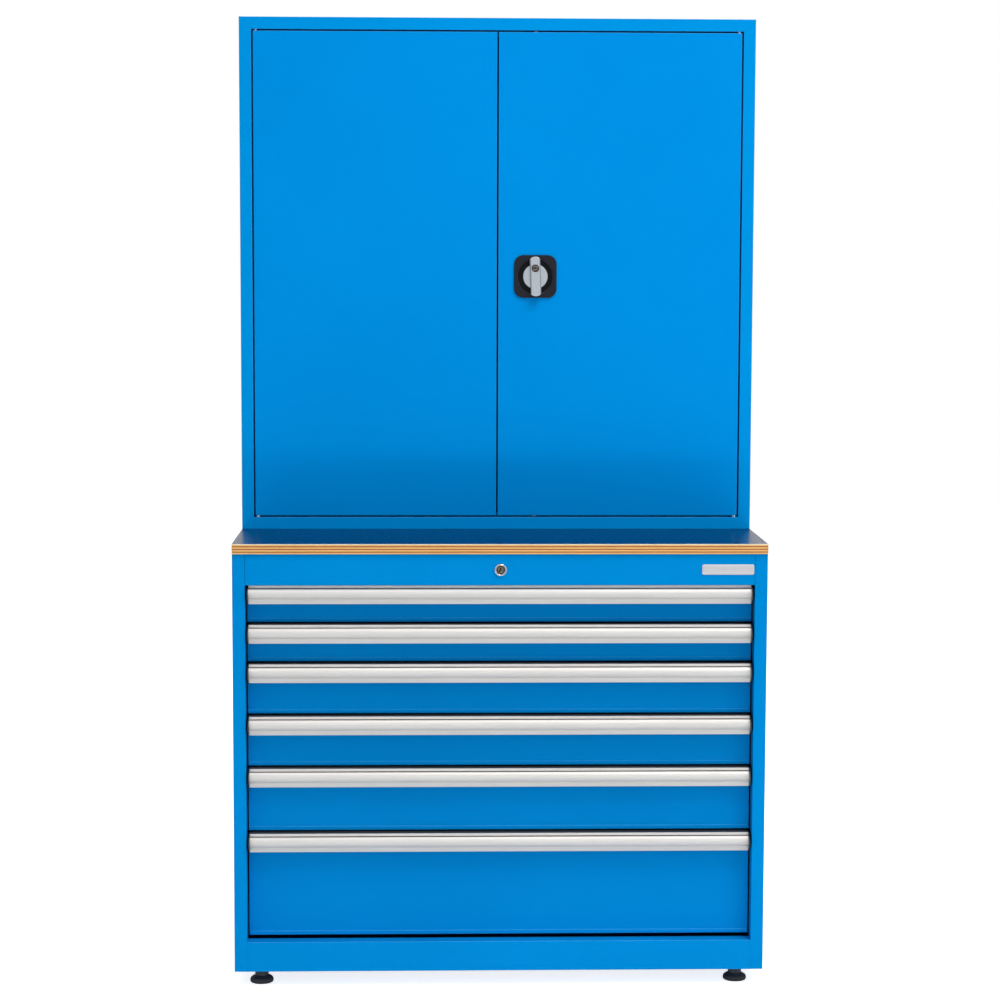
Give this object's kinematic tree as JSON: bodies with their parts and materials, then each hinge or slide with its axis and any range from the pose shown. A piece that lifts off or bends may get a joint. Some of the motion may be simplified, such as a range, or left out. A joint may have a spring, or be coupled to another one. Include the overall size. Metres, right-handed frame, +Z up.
{
  "type": "tool cabinet with doors",
  "caption": "Floor-standing drawer housing with full-width pull handles and a plywood worktop, carrying a shallower double-door cabinet with a turning rod lock",
  "frame": {"origin": "on the floor, in the middle of the cabinet's outer box", "axes": "+X to the right seen from the front, +Y to the back, +Z up; the front faces -Y"},
  "size_m": [1.008, 0.744, 1.849],
  "materials": {
    "blue_shell": "satin powder coat, light blue",
    "blue_front": "satin powder coat, darker blue",
    "zinc": "zinc plated sheet steel",
    "plywood": "clear lacquered birch plywood edge",
    "laminate": "dark blue laminate, satin",
    "alu": "clear anodised extrusion",
    "black": "moulded black plastic",
    "silver": "satin cast metal",
    "chrome": "polished plating"
  },
  "bodies": {
    "housing": {"base_side_left": "blue_shell", "base_side_right": "blue_shell", "base_back_panel": "blue_shell", "base_floor_pan": "blue_shell", "base_top_rail": "blue_shell", "cabinet_side_left": "blue_shell", "cabinet_side_right": "blue_shell", "cabinet_top": "blue_shell", "cabinet_bottom": "blue_shell", "cabinet_back": "blue_shell", "shelves": "blue_shell", "slotted_uprights": "zinc", "drawer_rails": "zinc", "fasteners": "zinc", "hinge_pins": "zinc", "worktop_board": "plywood", "worktop_laminate": "laminate", "lock_ring": "chrome"},
    "drawer_1": {"drawer_1_box": "blue_front", "drawer_1_handle": "alu", "drawer_1_caps": "black", "drawer_1_runners": "zinc"},
    "carriage_1": {"drawer_1_carriage": "zinc"},
    "drawer_2": {"drawer_2_box": "blue_front", "drawer_2_handle": "alu", "drawer_2_caps": "black", "drawer_2_runners": "zinc"},
    "carriage_2": {"drawer_2_carriage": "zinc"},
    "drawer_3": {"drawer_3_box": "blue_front", "drawer_3_handle": "alu", "drawer_3_caps": "black", "drawer_3_runners": "zinc"},
    "carriage_3": {"drawer_3_carriage": "zinc"},
    "drawer_4": {"drawer_4_box": "blue_front", "drawer_4_handle": "alu", "drawer_4_caps": "black", "drawer_4_runners": "zinc"},
    "carriage_4": {"drawer_4_carriage": "zinc"},
    "drawer_5": {"drawer_5_box": "blue_front", "drawer_5_handle": "alu", "drawer_5_caps": "black", "drawer_5_runners": "zinc"},
    "carriage_5": {"drawer_5_carriage": "zinc"},
    "drawer_6": {"drawer_6_box": "blue_front", "drawer_6_handle": "alu", "drawer_6_caps": "black", "drawer_6_runners": "zinc"},
    "carriage_6": {"drawer_6_carriage": "zinc"},
    "door_left": {"door_left": "blue_front"},
    "door_right": {"door_right": "blue_front", "handle_plate": "black"},
    "turn_handle": {"turn_handle": "silver"},
    "rod_top": {"rod_top": "zinc"},
    "rod_bottom": {"rod_bottom": "zinc"},
    "drawer_lock": {"drawer_lock": "chrome"},
    "locking_bar": {"locking_bar": "zinc"},
    "foot_front_left": {"foot_front_left": "black"},
    "foot_front_right": {"foot_front_right": "black"},
    "foot_rear_left": {"foot_rear_left": "black"},
    "foot_rear_right": {"foot_rear_right": "black"}
  },
  "joints": [
    {"name": "drawer_1_slide", "type": "slide", "parent": "housing", "child": "drawer_1", "axis": [0, -1, 0], "range_m": [0, 0.62]},
    {"name": "carriage_1_slide", "type": "slide", "parent": "housing", "child": "carriage_1", "axis": [0, -1, 0], "range_m": [0, 0.31]},
    {"name": "drawer_2_slide", "type": "slide", "parent": "housing", "child": "drawer_2", "axis": [0, -1, 0], "range_m": [0, 0.62]},
    {"name": "carriage_2_slide", "type": "slide", "parent": "housing", "child": "carriage_2", "axis": [0, -1, 0], "range_m": [0, 0.31]},
    {"name": "drawer_3_slide", "type": "slide", "parent": "housing", "child": "drawer_3", "axis": [0, -1, 0], "range_m": [0, 0.62]},
    {"name": "carriage_3_slide", "type": "slide", "parent": "housing", "child": "carriage_3", "axis": [0, -1, 0], "range_m": [0, 0.31]},
    {"name": "drawer_4_slide", "type": "slide", "parent": "housing", "child": "drawer_4", "axis": [0, -1, 0], "range_m": [0, 0.62]},
    {"name": "carriage_4_slide", "type": "slide", "parent": "housing", "child": "carriage_4", "axis": [0, -1, 0], "range_m": [0, 0.31]},
    {"name": "drawer_5_slide", "type": "slide", "parent": "housing", "child": "drawer_5", "axis": [0, -1, 0], "range_m": [0, 0.62]},
    {"name": "carriage_5_slide", "type": "slide", "parent": "housing", "child": "carriage_5", "axis": [0, -1, 0], "range_m": [0, 0.31]},
    {"name": "drawer_6_slide", "type": "slide", "parent": "housing", "child": "drawer_6", "axis": [0, -1, 0], "range_m": [0, 0.62]},
    {"name": "carriage_6_slide", "type": "slide", "parent": "housing", "child": "carriage_6", "axis": [0, -1, 0], "range_m": [0, 0.31]},
    {"name": "door_left_hinge", "type": "hinge", "parent": "housing", "child": "door_left", "pos_m": [-0.472, -0.092, 1.349], "axis": [0, 0, -1], "range_deg": [0, 105]},
    {"name": "door_right_hinge", "type": "hinge", "parent": "housing", "child": "door_right", "pos_m": [0.472, -0.092, 1.349], "axis": [0, 0, 1], "range_deg": [0, 105]},
    {"name": "rod_top_slide", "type": "slide", "parent": "door_right", "child": "rod_top", "axis": [0, 0, 1], "range_m": [0, 0.01273]},
    {"name": "turn_handle_spin", "type": "hinge", "parent": "door_right", "child": "turn_handle", "pos_m": [0.0744, -0.098, 1.348], "axis": [0, -1, 0], "range_deg": [0, 90]},
    {"name": "rod_bottom_slide", "type": "slide", "parent": "door_right", "child": "rod_bottom", "axis": [0, 0, -1], "range_m": [0, 0.01275]},
    {"name": "locking_bar_lift", "type": "slide", "parent": "housing", "child": "locking_bar", "axis": [0, 0, 1], "range_m": [0, 0.0198]},
    {"name": "drawer_lock_turn", "type": "hinge", "parent": "housing", "child": "drawer_lock", "pos_m": [0, -0.364, 0.8], "axis": [0, -1, 0], "range_deg": [0, 90]},
    {"name": "foot_front_left_level", "type": "slide", "parent": "housing", "child": "foot_front_left", "axis": [0, 0, -1], "range_m": [0, 0.01]},
    {"name": "foot_front_right_level", "type": "slide", "parent": "housing", "child": "foot_front_right", "axis": [0, 0, -1], "range_m": [0, 0.01]},
    {"name": "foot_rear_left_level", "type": "slide", "parent": "housing", "child": "foot_rear_left", "axis": [0, 0, -1], "range_m": [0, 0.01]},
    {"name": "foot_rear_right_level", "type": "slide", "parent": "housing", "child": "foot_rear_right", "axis": [0, 0, -1], "range_m": [0, 0.01]}
  ],
  "couplings": [
    {"joint": "carriage_1_slide", "follows": "drawer_1_slide", "ratio": 0.5},
    {"joint": "carriage_2_slide", "follows": "drawer_2_slide", "ratio": 0.5},
    {"joint": "carriage_3_slide", "follows": "drawer_3_slide", "ratio": 0.5},
    {"joint": "carriage_4_slide", "follows": "drawer_4_slide", "ratio": 0.5},
    {"joint": "carriage_5_slide", "follows": "drawer_5_slide", "ratio": 0.5},
    {"joint": "carriage_6_slide", "follows": "drawer_6_slide", "ratio": 0.5},
    {"joint": "turn_handle_spin", "follows": "rod_top_slide", "rad_per_m": 123.41},
    {"joint": "rod_bottom_slide", "follows": "rod_top_slide", "ratio": 1},
    {"joint": "drawer_lock_turn", "follows": "locking_bar_lift", "rad_per_m": 79.33}
  ]
}
